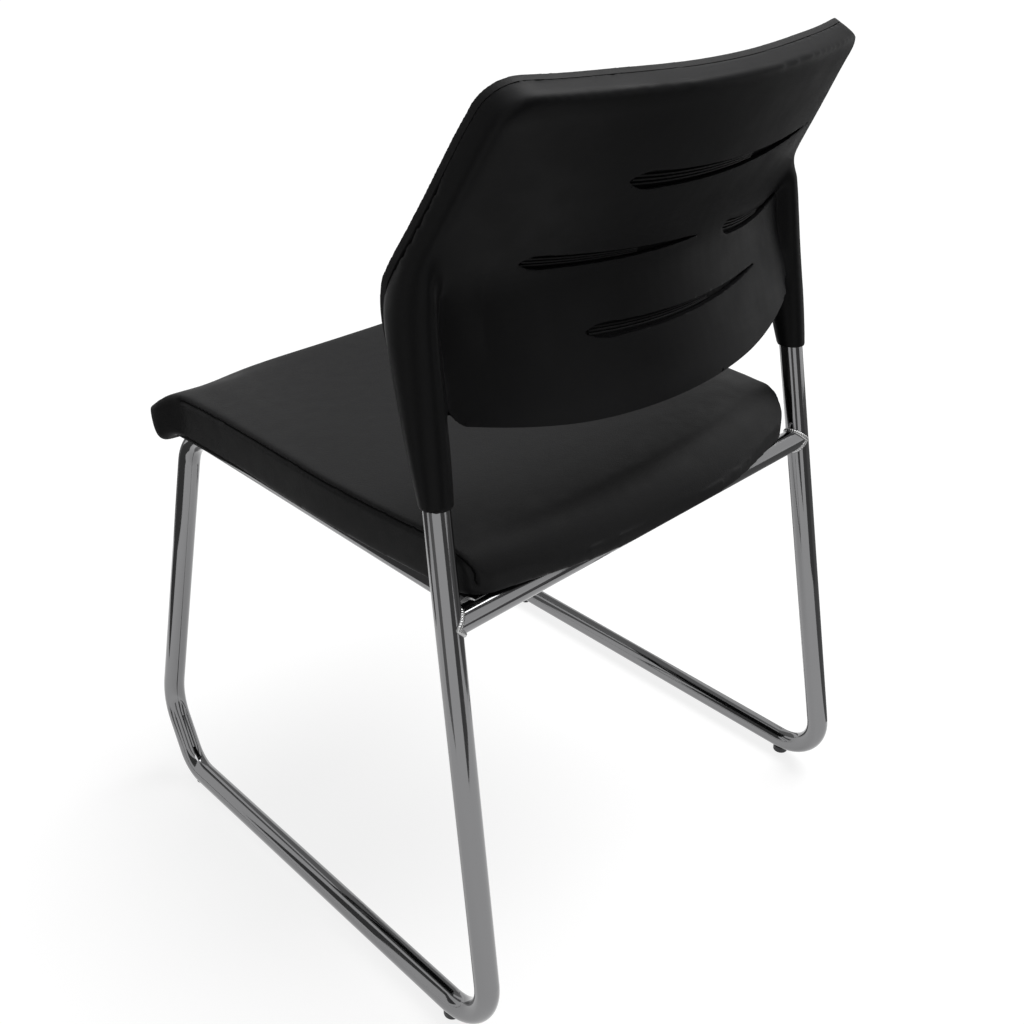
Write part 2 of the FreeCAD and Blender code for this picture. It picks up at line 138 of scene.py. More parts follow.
# Half width of the seat that its waist is measured at, and where it fades in and out again
WAIST_HALF = 0.228
WAIST_START = (0.006, 0.050)
WAIST_FADE = (0.13, -0.16)

# Seat's front corners: where they drop, and where and how far they are moved out and eased
CORNER_DROP_X = (0.13, 0.232)
CORNER_DROP_Y = 0.050
CORNER_DROP_TOP = 0.040
CORNER_X = (0.190, 0.222)
CORNER_Y = (0.050, 0.020)
CORNER_OUT = 0.002
CORNER_AHEAD = 0.005
CORNER_EASE = 12

# Distances over which the cover's hold fades out: from a seam, above the seat's underside, from the pad's rim
SEAM_HOLD = (0.003, 0.008)
UNDER_HOLD = (0.002, 0.008)
PAD_HOLD = (0.006, 0.030)

# What faces the front less than this is the pad's rim
PAD_RIM_FACING = -0.6

# Staple line under the seat: share of the cloth's size that counts as rim, the line's share, gap, wire radius
STAPLE_RIM = 0.85
STAPLE_INSET = 0.965
STAPLE_GAP = 0.0002
STAPLE_R = 0.0006

# Range of a noise pattern that finishes use
PATTERN = (0.3, 0.7)

# Grey cards that only mirrors see. Upright: heading and width in degrees, level. On the floor: x, y, level
CARDS = (
    (18, 22, 0.16), (72, 16, 0.30), (112, 22, 0.12), (160, 18, 0.25),
    (222, 60, 0.35), (282, 18, 0.20), (330, 24, 0.14))
CARD_FOOT = 0.14
CARD_HEIGHT = 1.6
FLOOR_CARDS = (
    (-1.86, -0.36, -0.36, 1.86, 0.2),
    (0.5, 1.7, -1.8, -0.35, 0.12))
FLOOR_CARD_Z = 0.002

# Lamps: a wide sun from above, and a softbox over the chair
SKY_AHEAD = Vector((0.45, -0.10, -0.88))
SKY_ANGLE = math.radians(40.0)
SKY_ENERGY = 2.6
SOFTBOX_PLACE = Vector((0.1, 0.2, 2.6))
SOFTBOX_TARGET = Vector((0.0, 0.0, 0.5))
SOFTBOX_SIZE = (1.4, 1.0)
SOFTBOX_WATTS = 8.0

WHITE = (1.0, 1.0, 1.0, 1.0)

# The floor's own tone, how bright floor and air look to the camera and in mirrors, and the air's light
FLOOR_TONE = 0.24
FLOOR_SEEN = 0.84
AIR_SEEN = 0.88
AIR_LIGHT = 0.12


class ChairSizes(bpy.types.PropertyGroup):
    """Sizes of the soft and small pieces."""
    seat_depth: IntProperty(name="Seat mesh", description="Halvings of the seat's box", default=7)
    pad_depth: IntProperty(name="Back pad mesh", description="Halvings of the pad's box", default=8)
    shell_depth: IntProperty(name="Shell mesh", description="Halvings of the shell's box", default=8)
    rim_round: FloatProperty(name="Rim rounding", description="Reach of the shell's upper rounding",
                             default=0.017, unit="LENGTH")
    edge_snap: FloatProperty(name="Edge snap", description="Reach of the panel's bottom edge",
                             default=0.0017, unit="LENGTH")
    puff_pressure: FloatProperty(name="Puff", description="Air pressure in the cushions", default=4.0)
    puff_cap: FloatProperty(name="Puff limit", description="How far the cover may move out",
                            default=0.004, unit="LENGTH")
    puff_ease: IntProperty(name="Puff easing", description="Rounds that even out the cover's movement",
                           default=40)
    puff_frames: IntProperty(name="Puff frames", description="Steps of the cloth simulation", default=20)
    nose_droop: FloatProperty(name="Nose droop", description="How far the front lip hangs below the board",
                              default=0.016, unit="LENGTH")
    nose_depth: FloatProperty(name="Nose depth", description="How far back the lip's rounding reaches",
                              default=0.036, unit="LENGTH")
    corner_drop: FloatProperty(name="Corner drop", description="How far the front corners fall",
                               default=0.008, unit="LENGTH")
    waist: FloatProperty(name="Waist", description="How far the seat's sides pull in behind the front lip",
                         default=0.0105, unit="LENGTH")
    nose_height: FloatProperty(name="Nose height", description="How far up the lip's rounding reaches",
                               default=0.015, unit="LENGTH")
    seam_below: FloatProperty(name="Seam drop", description="Side seam's distance below the top edge",
                              default=0.0045, unit="LENGTH")
    seam_depth: FloatProperty(name="Seam depth", description="How deep the seam pulls in",
                              default=0.0020, unit="LENGTH")
    seam_width: FloatProperty(name="Seam width", description="Half width of the seam's valley",
                              default=0.0045, unit="LENGTH")
    stitch_length: FloatProperty(name="Stitch", description="Length of one stitch",
                                 default=0.0034, unit="LENGTH")
    stitch_step: FloatProperty(name="Stitch step", description="Distance between stitches",
                               default=0.0046, unit="LENGTH")
    # Seam line: radius of the near-black rod laid along each side seam as its painted shadow line
    seam_shadow_r: FloatProperty(name="Seam line", description="Radius of the dark rod painted as the seam's shadow line",
                          default=0.0008, unit="LENGTH")
    thread_r: FloatProperty(name="Thread", description="Thread radius", default=0.00045, unit="LENGTH")
    bead_r: FloatProperty(name="Weld bead", description="Radius of a weld ripple",
                          default=0.0026, unit="LENGTH")
    bead_step: FloatProperty(name="Weld ripple", description="Distance between weld ripples",
                             default=0.0021, unit="LENGTH")
    rib_r: FloatProperty(name="Slot rib", description="Radius of the ribs in the slots",
                         default=0.0009, unit="LENGTH")
    staple_l: FloatProperty(name="Staple", description="Width of a staple", default=0.010, unit="LENGTH")
    staple_step: FloatProperty(name="Staple step", description="Distance between staples",
                               default=0.034, unit="LENGTH")


class ChairColours(bpy.types.PropertyGroup):
    """Colours of the finishes."""
    leather: FloatVectorProperty(name="Cover", description="Leather cloth", subtype="COLOR",
                                 default=(0.0150, 0.0150, 0.0154))
    shell: FloatVectorProperty(name="Shell", description="Moulded back", subtype="COLOR",
                               default=(0.0085, 0.0085, 0.009))
    chrome: FloatVectorProperty(name="Chrome", description="Plated tube", subtype="COLOR",
                                default=(0.22, 0.22, 0.224))
    weld: FloatVectorProperty(name="Weld", description="Plated weld bead", subtype="COLOR",
                              default=(0.45, 0.45, 0.45))
    steel: FloatVectorProperty(name="Fasteners", description="Zinc plate", subtype="COLOR",
                               default=(0.42, 0.42, 0.43))
    plywood: FloatVectorProperty(name="Board", description="Plywood", subtype="COLOR",
                                 default=(0.42, 0.29, 0.17))
    dust_cloth: FloatVectorProperty(name="Dust cloth", description="Cloth under the seat", subtype="COLOR",
                                    default=(0.018, 0.018, 0.019))
    rubber: FloatVectorProperty(name="Rubber", description="Spacers", subtype="COLOR",
                                default=(0.02, 0.02, 0.02))
    glide: FloatVectorProperty(name="Glides", description="Floor glides", subtype="COLOR",
                               default=(0.075, 0.075, 0.08))


class ChairStage(bpy.types.PropertyGroup):
    """Camera and studio."""
    eye: FloatVectorProperty(name="Camera", description="Camera's place", subtype="XYZ", unit="LENGTH",
                             default=(0.74643, 0.79132, 0.96316))
    azimuth: FloatProperty(name="Azimuth", description="Heading of the view, from +Y towards +X",
                           subtype="ANGLE", default=math.radians(-135.380))
    dip: FloatProperty(name="Dip", description="How far the view looks down", subtype="ANGLE",
                       default=math.radians(27.405))
    roll: FloatProperty(name="Roll", description="Tilt of the picture", subtype="ANGLE",
                        default=math.radians(0.446))
    lens: FloatProperty(name="Lens", description="Focal length on a 36 mm frame", default=43.434)
    shift_x: FloatProperty(name="Shift X", description="Sideways shift of the picture", default=-0.0040)
    shift_y: FloatProperty(name="Shift Y", description="Upward shift of the picture", default=-0.0605)
    floor_half: FloatProperty(name="Floor", description="Half size of the floor", default=14.0, unit="LENGTH")
    card_radius: FloatProperty(name="Card circle", description="Distance of the upright cards from the chair",
                               default=0.62, unit="LENGTH")


def sizes():
    return bpy.context.scene.chair_sizes


def colours():
    return bpy.context.scene.chair_colours


def add_object(name, mesh):
    piece = bpy.data.objects.new(name, mesh)
    bpy.context.scene.collection.objects.link(piece)
    return piece


def bake(piece):
    """Turn the piece's modifiers into its plain mesh."""
    graph = bpy.context.evaluated_depsgraph_get()
    graph.update()
    made = piece.evaluated_get(graph)
    mesh = bpy.data.meshes.new_from_object(made, preserve_all_data_layers=True, depsgraph=graph)
    piece.modifiers.clear()
    old = piece.data
    piece.data = mesh
    bpy.data.meshes.remove(old)
    mesh.name = piece.name


def solid_copy(name, *nodes):
    """One object with the merged solids of some CAD nodes."""
    joined = bmesh.new()
    for node in nodes:
        joined.from_mesh(NODES[node].data)
    bmesh.ops.remove_doubles(joined, verts=joined.verts, dist=WELD)
    mesh = bpy.data.meshes.new(name)
    joined.to_mesh(mesh)
    joined.free()
    return add_object(name, mesh)


def merge(piece, *nodes):
    """Add the solids of other CAD nodes to a piece's own, swollen so that no skin lies between them."""
    for node in nodes:
        form = solid_copy(node + "_form", node)
        set_points(form.data, points_of(form.data) + normals_of(form.data) * MERGE_SWELL)
        unite(piece, form)


def unite(piece, other):
    """Join another object's solid to a piece, and use it up."""
    join = piece.modifiers.new("join", "BOOLEAN")
    join.operation = "UNION"
    join.solver = "EXACT"
    join.object = other
    bake(piece)
    bpy.data.objects.remove(other)


def even_skin(piece, depth, ease_steps):
    """Even quads over a solid, with its edges kept and eased a little."""
    skin = piece.modifiers.new("skin", "REMESH")
    skin.mode = "SHARP"
    skin.octree_depth = depth
    skin.scale = SKIN_SCALE
    ease(piece, ease_steps)


def finer(piece):
    """Each face of a piece in four, rounded."""
    split = piece.modifiers.new("split", "SUBSURF")
    split.levels = 1
    split.render_levels = 1
    bake(piece)


def weight_group(piece, name, weights):
    """Vertex group with the weights that count."""
    group = piece.vertex_groups.new(name=name)
    for i in np.nonzero(weights > WEIGHT_MIN)[0]:
        group.add([int(i)], float(weights[i]), "REPLACE")
    return group.name


def ease(piece, steps, weights=None):
    """Smooth a piece, all over or by weight."""
    soften = piece.modifiers.new("soften", "SMOOTH")
    soften.factor = 0.5
    soften.iterations = steps
    if weights is not None:
        soften.vertex_group = weight_group(piece, "soften", weights)
    bake(piece)
    piece.vertex_groups.clear()


def neighbour_average(mesh):
    """A function that gives each vertex the mean of a vector over its neighbours."""
    ends = np.empty(len(mesh.edges) * 2, np.int32)
    mesh.edges.foreach_get("vertices", ends)
    a, b = ends.reshape(-1, 2).T
    here = np.concatenate((a, b))
    there = np.concatenate((b, a))
    total = len(mesh.vertices)
    count = np.maximum(np.bincount(here, minlength=total), 1)[:, None]

    def average(values):
        return np.stack([np.bincount(here, values[there, k], total) for k in range(3)], axis=1) / count

    return average


def fill_hollows(piece, weights, steps):
    """Raise hollow places towards their neighbours, and leave the rounded ones as they are."""
    mesh = piece.data
    co = points_of(mesh)
    no = normals_of(mesh)
    average = neighbour_average(mesh)
    for _ in range(steps):
        rise = np.maximum(((average(co) - co) * no).sum(axis=1), 0.0) * weights
        co += no * rise[:, None]
    set_points(mesh, co)


def points_of(mesh):
    co = np.empty(len(mesh.vertices) * 3, np.float32)
    mesh.vertices.foreach_get("co", co)
    return co.reshape(-1, 3).astype(float)


def normals_of(mesh):
    no = np.empty(len(mesh.vertices) * 3, np.float32)
    mesh.vertex_normals.foreach_get("vector", no)
    return no.reshape(-1, 3).astype(float)


def set_points(mesh, co):
    mesh.vertices.foreach_set("co", np.asarray(co, np.float32).ravel())
    mesh.update()


def smooth_faces(mesh):
    mesh.polygons.foreach_set("use_smooth", [True] * len(mesh.polygons))
    mesh.update()


def ramp(value, start, end):
    """Smooth step from 0 at start to 1 at end."""
    t = np.clip((value - start) / (end - start), 0.0, 1.0)
    return t * t * (3.0 - 2.0 * t)


def point_tree(points):
    """Search tree of some points."""
    tree = KDTree(len(points))
    for i, p in enumerate(points):
        tree.insert(p, i)
    tree.balance()
    return tree


def distance_to(co, path):
    """Distance from each point to the nearest of a path's points."""
    tree = point_tree(path)
    return np.array([tree.find(p)[2] for p in co])


def puff(piece, held):
    """Crown a cushion by cloth under air pressure; held is 1 where the cover is sewn or stapled down."""
    mesh = piece.data
    before = points_of(mesh)
    sewn = weight_group(piece, "held", held)
    cloth = piece.modifiers.new("air", "CLOTH")
    s = cloth.settings
    s.quality = 3
    s.mass = 0.3
    s.tension_stiffness = 15
    s.compression_stiffness = 15
    s.shear_stiffness = 5
    s.bending_stiffness = 0.5
    s.use_pressure = True
    s.uniform_pressure_force = sizes().puff_pressure
    s.effector_weights.gravity = 0.0
    s.vertex_group_mass = sewn
    cloth.collision_settings.use_collision = False
    scene = bpy.context.scene
    for step in range(1, sizes().puff_frames + 1):
        scene.frame_set(step)
    graph = bpy.context.evaluated_depsgraph_get()
    after = points_of(piece.evaluated_get(graph).data)
    piece.modifiers.clear()
    scene.frame_set(1)
    move = after - before
    average = neighbour_average(mesh)
    for _ in range(sizes().puff_ease):
        move = (move + average(move)) / 2
    move *= 1.0 - held[:, None]
    far = np.linalg.norm(move, axis=1)
    cap = sizes().puff_cap
    keep = cap * np.tanh(far / cap) / np.maximum(far, 1e-9)
    set_points(mesh, before + move * keep[:, None])
    piece.vertex_groups.clear()


def polyline(name, paths):
    """Mesh of loose edges along some paths, for a node tree to follow."""
    mesh = bpy.data.meshes.new(name)
    verts = [p for path in paths for p in path]
    edges = []
    start = 0
    for path in paths:
        edges += [(start + i, start + i + 1) for i in range(len(path) - 1)]
        start += len(path)
    mesh.from_pydata([tuple(v) for v in verts], edges, [])
    return add_object(name, mesh)


def new_tree(name, inputs):
    """Geometry tree with a geometry in and out, and named number inputs."""
    tree = bpy.data.node_groups.new(name, "GeometryNodeTree")
    tree.interface.new_socket("Geometry", in_out="INPUT", socket_type="NodeSocketGeometry")
    tree.interface.new_socket("Geometry", in_out="OUTPUT", socket_type="NodeSocketGeometry")
    for label in inputs:
        tree.interface.new_socket(label, in_out="INPUT", socket_type="NodeSocketFloat")
    tree.interface.new_socket("Material", in_out="INPUT", socket_type="NodeSocketMaterial")
    return tree


def finish_tree(tree, geometry, group_in):
    """Realize, paint and hand out a tree's geometry."""
    real = tree.nodes.new("GeometryNodeRealizeInstances")
    paint = tree.nodes.new("GeometryNodeSetMaterial")
    out = tree.nodes.new("NodeGroupOutput")
    tree.links.new(geometry, real.inputs[0])
    tree.links.new(real.outputs[0], paint.inputs["Geometry"])
    tree.links.new(group_in.outputs["Material"], paint.inputs["Material"])
    tree.links.new(paint.outputs[0], out.inputs[0])


def bead_tree():
    """Pill-shaped beads at even steps along a path: stitches, staples and weld ripples."""
    tree = new_tree("Beads along a path", ("Step", "Half length", "Radius"))
    n = tree.nodes
    group_in = n.new("NodeGroupInput")
    curve = n.new("GeometryNodeMeshToCurve")
    even = n.new("GeometryNodeResampleCurve")
    even.mode = "LENGTH"
    ball = n.new("GeometryNodeMeshUVSphere")
    ball.inputs["Segments"].default_value = 8
    ball.inputs["Rings"].default_value = 6
    ball.inputs["Radius"].default_value = 1.0
    size = n.new("ShaderNodeCombineXYZ")
    place = n.new("GeometryNodeInstanceOnPoints")
    tangent = n.new("GeometryNodeInputTangent")
    turn = n.new("FunctionNodeAlignRotationToVector")
    turn.axis = "Z"
    smooth = n.new("GeometryNodeSetShadeSmooth")
    link = tree.links.new
    link(group_in.outputs["Geometry"], curve.inputs["Mesh"])
    link(curve.outputs["Curve"], even.inputs["Curve"])
    link(group_in.outputs["Step"], even.inputs["Length"])
    link(even.outputs["Curve"], place.inputs["Points"])
    link(ball.outputs["Mesh"], smooth.inputs["Geometry"])
    link(smooth.outputs["Geometry"], place.inputs["Instance"])
    link(tangent.outputs["Tangent"], turn.inputs["Vector"])
    link(turn.outputs["Rotation"], place.inputs["Rotation"])
    link(group_in.outputs["Radius"], size.inputs["X"])
    link(group_in.outputs["Radius"], size.inputs["Y"])
    link(group_in.outputs["Half length"], size.inputs["Z"])
    link(size.outputs["Vector"], place.inputs["Scale"])
    finish_tree(tree, place.outputs["Instances"], group_in)
    return tree


def rod_tree():
    """Round rod along a path: slot ribs, and the near-black seam lines painted as the seams' shadow."""
    tree = new_tree("Rod along a path", ("Radius",))
    n = tree.nodes
    group_in = n.new("NodeGroupInput")
    curve = n.new("GeometryNodeMeshToCurve")
    circle = n.new("GeometryNodeCurvePrimitiveCircle")
    circle.inputs["Resolution"].default_value = 10
    rod = n.new("GeometryNodeCurveToMesh")
    rod.inputs["Fill Caps"].default_value = True
    smooth = n.new("GeometryNodeSetShadeSmooth")
    link = tree.links.new
    link(group_in.outputs["Geometry"], curve.inputs["Mesh"])
    link(curve.outputs["Curve"], rod.inputs["Curve"])
    link(group_in.outputs["Radius"], circle.inputs["Radius"])
    link(circle.outputs["Curve"], rod.inputs["Profile Curve"])
    link(rod.outputs["Mesh"], smooth.inputs["Geometry"])
    finish_tree(tree, smooth.outputs["Geometry"], group_in)
    return tree


def grow(name, paths, tree, values, material):
    """Follow some paths with a tree and keep the result as a plain mesh."""
    piece = polyline(name, paths)
    maker = piece.modifiers.new("maker", "NODES")
    maker.node_group = tree
    for item in tree.interface.items_tree:
        if item.in_out != "INPUT":
            continue
        if item.name in values:
            maker[item.identifier] = values[item.name]
        elif item.name == "Material":
            maker[item.identifier] = material
    bake(piece)
    if not piece.data.polygons:
        raise RuntimeError("the tree made nothing for " + name)
    return piece


def keep_piece(piece, slot, *replaced):
    """Put a finished piece under its body and hide the CAD nodes it stands for; the slot is not used."""
    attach(piece, BODY)
    if replaced:
        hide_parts(*replaced)


class Finish:
    """A material's node tree, with short ways to add what most finishes need."""

    def __init__(self, name, colour, roughness, metallic=0.0, specular=0.5):
        self.material = bpy.data.materials.new(name)
        self.material.use_nodes = True
        self.tree = self.material.node_tree
        self.shader = self.tree.nodes["Principled BSDF"]
        for socket, value in (("Base Color", (*colour, 1.0)), ("Roughness", roughness),
                              ("Metallic", metallic), ("Specular IOR Level", specular)):
            self.shader.inputs[socket].default_value = value
        self.place = self.tree.nodes.new("ShaderNodeTexCoord").outputs["Object"]

    def noise(self, scale, detail=3.0, stretch=None):
        node = self.tree.nodes.new("ShaderNodeTexNoise")
        node.inputs["Scale"].default_value = scale
        node.inputs["Detail"].default_value = detail
        place = self.place
        if stretch:
            mapping = self.tree.nodes.new("ShaderNodeMapping")
            mapping.inputs["Scale"].default_value = stretch
            self.tree.links.new(place, mapping.inputs["Vector"])
            place = mapping.outputs["Vector"]
        self.tree.links.new(place, node.inputs["Vector"])
        return node.outputs["Fac"]

    def cells(self, scale):
        node = self.tree.nodes.new("ShaderNodeTexVoronoi")
        node.feature = "SMOOTH_F1"
        node.inputs["Scale"].default_value = scale
        self.tree.links.new(self.place, node.inputs["Vector"])
        return node.outputs["Distance"]

    def between(self, factor, low, high, into):
        """Map a 0 to 1 pattern to a range, into one of the shader's sockets."""
        node = self.tree.nodes.new("ShaderNodeMapRange")
        for socket, value in zip(("From Min", "From Max", "To Min", "To Max"), (*PATTERN, low, high)):
            node.inputs[socket].default_value = value
        self.tree.links.new(factor, node.inputs["Value"])
        self.tree.links.new(node.outputs["Result"], self.shader.inputs[into])

    def tint(self, factor, dark, light):
        """Colour that wanders between two tones."""
        node = self.tree.nodes.new("ShaderNodeValToRGB")
        for stop, position, colour in zip(node.color_ramp.elements, PATTERN, (dark, light)):
            stop.position = position
            stop.color = (*colour, 1.0)
        self.tree.links.new(factor, node.inputs["Fac"])
        self.tree.links.new(node.outputs["Color"], self.shader.inputs["Base Color"])

    def bump(self, height, depth, strength=1.0):
        """Add relief; more than one stacks up."""
        node = self.tree.nodes.new("ShaderNodeBump")
        node.inputs["Strength"].default_value = strength
        node.inputs["Distance"].default_value = depth
        self.tree.links.new(height, node.inputs["Height"])
        normal = self.shader.inputs["Normal"]
        if normal.links:
            self.tree.links.new(normal.links[0].from_socket, node.inputs["Normal"])
        self.tree.links.new(node.outputs["Normal"], normal)


def shade(colour, factor):
    return tuple(c * factor for c in colour)


def chrome_finish():
    f = Finish("chrome_plate", colours().chrome, 0.08, 1.0)
    f.between(f.noise(40.0, 4.0), 0.05, 0.12, "Roughness")
    f.bump(f.noise(14.0, 2.0), 0.0004, 0.25)
    return f.material


def weld_finish():
    f = Finish("plated_weld", colours().weld, 0.16, 1.0)
    f.between(f.noise(600.0), 0.10, 0.24, "Roughness")
    return f.material


def leather_finish():
    c = colours().leather
    f = Finish("black_leather_cloth", c, 0.5, specular=0.12)
    f.tint(f.noise(5.0), shade(c, 0.94), shade(c, 1.07))
    f.between(f.noise(60.0), 0.48, 0.56, "Roughness")
    f.bump(f.cells(950.0), 0.00035, 0.5)
    f.bump(f.noise(160.0, 4.0), 0.0005, 0.12)
    return f.material


def shell_finish():
    c = colours().shell
    f = Finish("black_moulded_shell", c, 0.42, specular=0.09)
    f.tint(f.noise(6.0), shade(c, 0.85), shade(c, 1.15))
    f.between(f.noise(30.0), 0.38, 0.48, "Roughness")
    f.bump(f.noise(2200.0, 2.0), 0.00012, 0.5)
    return f.material


# Ribs at 0.8 of the shell's tone: darkened as painted shade of the slot recesses
def slot_rib_shade_finish():
    f = Finish("slot_rib_black_painted_shade", shade(colours().shell, 0.8), 0.45, specular=0.12)
    f.between(f.noise(400.0), 0.38, 0.55, "Roughness")
    return f.material


def board_finish():
    c = colours().plywood
    f = Finish("plywood", c, 0.6)
    f.tint(f.noise(24.0, 6.0, (1.0, 9.0, 1.0)), shade(c, 0.7), shade(c, 1.15))
    f.bump(f.noise(120.0, 4.0, (1.0, 9.0, 1.0)), 0.0003, 0.4)
    return f.material


def dust_cloth_finish():
    c = colours().dust_cloth
    f = Finish("dust_cloth", c, 0.9)
    f.tint(f.noise(220.0, 5.0), shade(c, 0.6), shade(c, 1.5))
    f.bump(f.noise(900.0, 3.0), 0.0003, 0.6)
    return f.material


def rubber_finish():
    f = Finish("spacer_rubber", colours().rubber, 0.7)
    f.between(f.noise(200.0), 0.6, 0.8, "Roughness")
    f.bump(f.noise(800.0), 0.0002, 0.4)
    return f.material


def steel_finish():
    f = Finish("zinc_plate", colours().steel, 0.32, 1.0)
    f.between(f.noise(300.0, 4.0), 0.25, 0.42, "Roughness")
    f.bump(f.noise(700.0), 0.0001, 0.3)
    return f.material


# Shell tone times 0.6 with low specular: the board seen through the slots is darkened as painted shade of the
# slot interiors; clips and plugs share the finish
def small_plastic_and_slot_shade_finish():
    f = Finish("small_plastic_with_painted_slot_shade", shade(colours().shell, 0.6), 0.5, specular=0.06)
    f.between(f.noise(150.0), 0.42, 0.58, "Roughness")
    f.bump(f.noise(1800.0), 0.0001, 0.4)
    return f.material


def glide_finish():
    c = colours().glide
    f = Finish("glide_plastic", c, 0.55)
    f.tint(f.noise(180.0, 5.0), shade(c, 0.7), shade(c, 1.35))
    f.bump(f.noise(900.0), 0.0002, 0.5)
    return f.material


# Near-black thread for the stitches; the same finish colours the rod painted as the seams' shadow line
def thread_and_seam_shadow_finish():
    f = Finish("black_thread_and_painted_seam_shadow", shade(colours().leather, 0.3), 0.7, specular=0.05)
    f.bump(f.noise(3000.0, 2.0), 0.0002, 0.6)
    return f.material


def dress(piece, material):
    """Give a piece one finish."""
    piece.data.materials.clear()
    piece.data.materials.append(material)


def paint(material, *nodes):
    """Put a finish on CAD nodes."""
    for node in nodes:
        dress(NODES[node], material)


def upright_axis(side):
    """A point on an upright's axis at the rail's height, and the axis's direction."""
    rise = RAIL_Z - UPRIGHT_FOOT.z
    point = UPRIGHT_FOOT + UPRIGHT_LEAN * rise
    along = Vector((side * UPRIGHT_LEAN.x, UPRIGHT_LEAN.y, UPRIGHT_LEAN.z)).normalized()
    return Vector((side * point.x, point.y, point.z)), along


def saddle(side, count=64):
    """The closed line where the rear cross tube meets an upright."""
    centre, along = upright_axis(side)
    out = []
    for i in range(count + 1):
        turn = 2 * math.pi * i / count
        w = Vector((0.0, TUBE_R * math.cos(turn), TUBE_R * math.sin(turn)))
        a = 1.0 - along.x ** 2
        b = -2.0 * along.x * w.dot(along)
        c = w.dot(w) - w.dot(along) ** 2 - TUBE_R ** 2
        root = math.sqrt(max(b * b - 4 * a * c, 0.0))
        x = (-b - side * root) / (2 * a)
        out.append(centre + w + Vector((x, 0.0, 0.0)))
    return out


def slot_paths(offsets, lift):
    """Lines along each slot on the board behind it, at some heights across the slot."""
    tree = mesh_tree(NODES["backrest_board"])
    paths = []
    for (ax, az), (bx, bz), thick, sag in SLOT_LINES:
        for offset in offsets:
            path = []
            for i in range(1, RIB_STEPS + 1):
                t = RIB_START + (RIB_END - RIB_START) * i / RIB_STEPS
                x = ax + (bx - ax) * t
                half = thick / 2 * (1 - t) ** SLOT_TAPER
                z = az + (bz - az) * t - sag * 4 * t * (1 - t) + offset * half
                hit = tree.ray_cast(Vector((x, RAY_START, z)), Vector((0.0, -1.0, 0.0)))[0]
                if hit is None:
                    raise RuntimeError("no board behind a slot")
                path.append(hit + Vector((0.0, lift, 0.0)))
            paths.append(path)
    return paths


def creases(node, wanted):
    """Points along a CAD node's sharp edges, of those edges whose middle and faces are wanted."""
    solid = bmesh.new()
    solid.from_mesh(NODES[node].data)
    bmesh.ops.remove_doubles(solid, verts=solid.verts, dist=WELD)
    points = []
    for edge in solid.edges:
        if len(edge.link_faces) != 2 or edge.calc_face_angle() < CREASE_ANGLE:
            continue
        a, b = (v.co for v in edge.verts)
        if wanted((a + b) / 2, edge.link_faces):
            steps = max(1, int((b - a).length / CREASE_STEP))
            points += [a.lerp(b, i / steps) for i in range(steps + 1)]
    solid.free()
    return points


def upper_rim(mid, faces):
    """Where the shell's rear face meets its rim, above the sleeves."""
    if max(face.normal.y for face in faces) <= CREASE_REAR:
        return False
    return mid.z > CREASE_TOP_Z or (abs(mid.x) > CREASE_SIDE_X and mid.z > CREASE_LOW_Z)


def lower_edge(mid, faces):
    """The panel's bottom edges, between the sleeves."""
    return mid.z < CREASE_BOTTOM_Z and abs(mid.x) < CREASE_SIDE_X


def snap(piece, points, reach):
    """Bring the vertices near some edge points onto them, and clear the faces that close up."""
    tree = point_tree(points)
    co = points_of(piece.data)
    for i, p in enumerate(co):
        spot, _, far = tree.find(p)
        if far < reach:
            co[i] = spot
    set_points(piece.data, co)
    joined = bmesh.new()
    joined.from_mesh(piece.data)
    bmesh.ops.remove_doubles(joined, verts=joined.verts, dist=WELD)
    bmesh.ops.dissolve_degenerate(joined, edges=joined.edges, dist=WELD)
    fins = [f for f in joined.faces if sum(len(e.link_faces) == 1 for e in f.edges) >= 2]
    bmesh.ops.delete(joined, geom=fins, context="FACES")
    joined.to_mesh(piece.data)
    joined.free()
    piece.data.update()


def close_bores(shell):
    """Fill the sleeves' bores, where only the tubes would be seen."""
    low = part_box("backrest_shell")[0]
    for side in (1, -1):
        point, along = upright_axis(side)
        foot = point + along * ((low.z - point.z + BORE_GAP) / along.z)
        core = bmesh.new()
        bmesh.ops.create_cone(core, cap_ends=True, segments=48, radius1=BORE_R, radius2=BORE_R, depth=BORE_L)
        turn = along.to_track_quat("Z", "Y").to_matrix().to_4x4()
        place = Matrix.Translation(foot + along * BORE_L / 2) @ turn
        bmesh.ops.transform(core, matrix=place, verts=core.verts)
        mesh = bpy.data.meshes.new("bore_core")
        core.to_mesh(mesh)
        core.free()
        unite(shell, add_object("bore_core", mesh))


def mesh_tree(piece):
    return BVHTree.FromPolygons([v.co.copy() for v in piece.data.vertices],
                                [list(p.vertices) for p in piece.data.polygons])


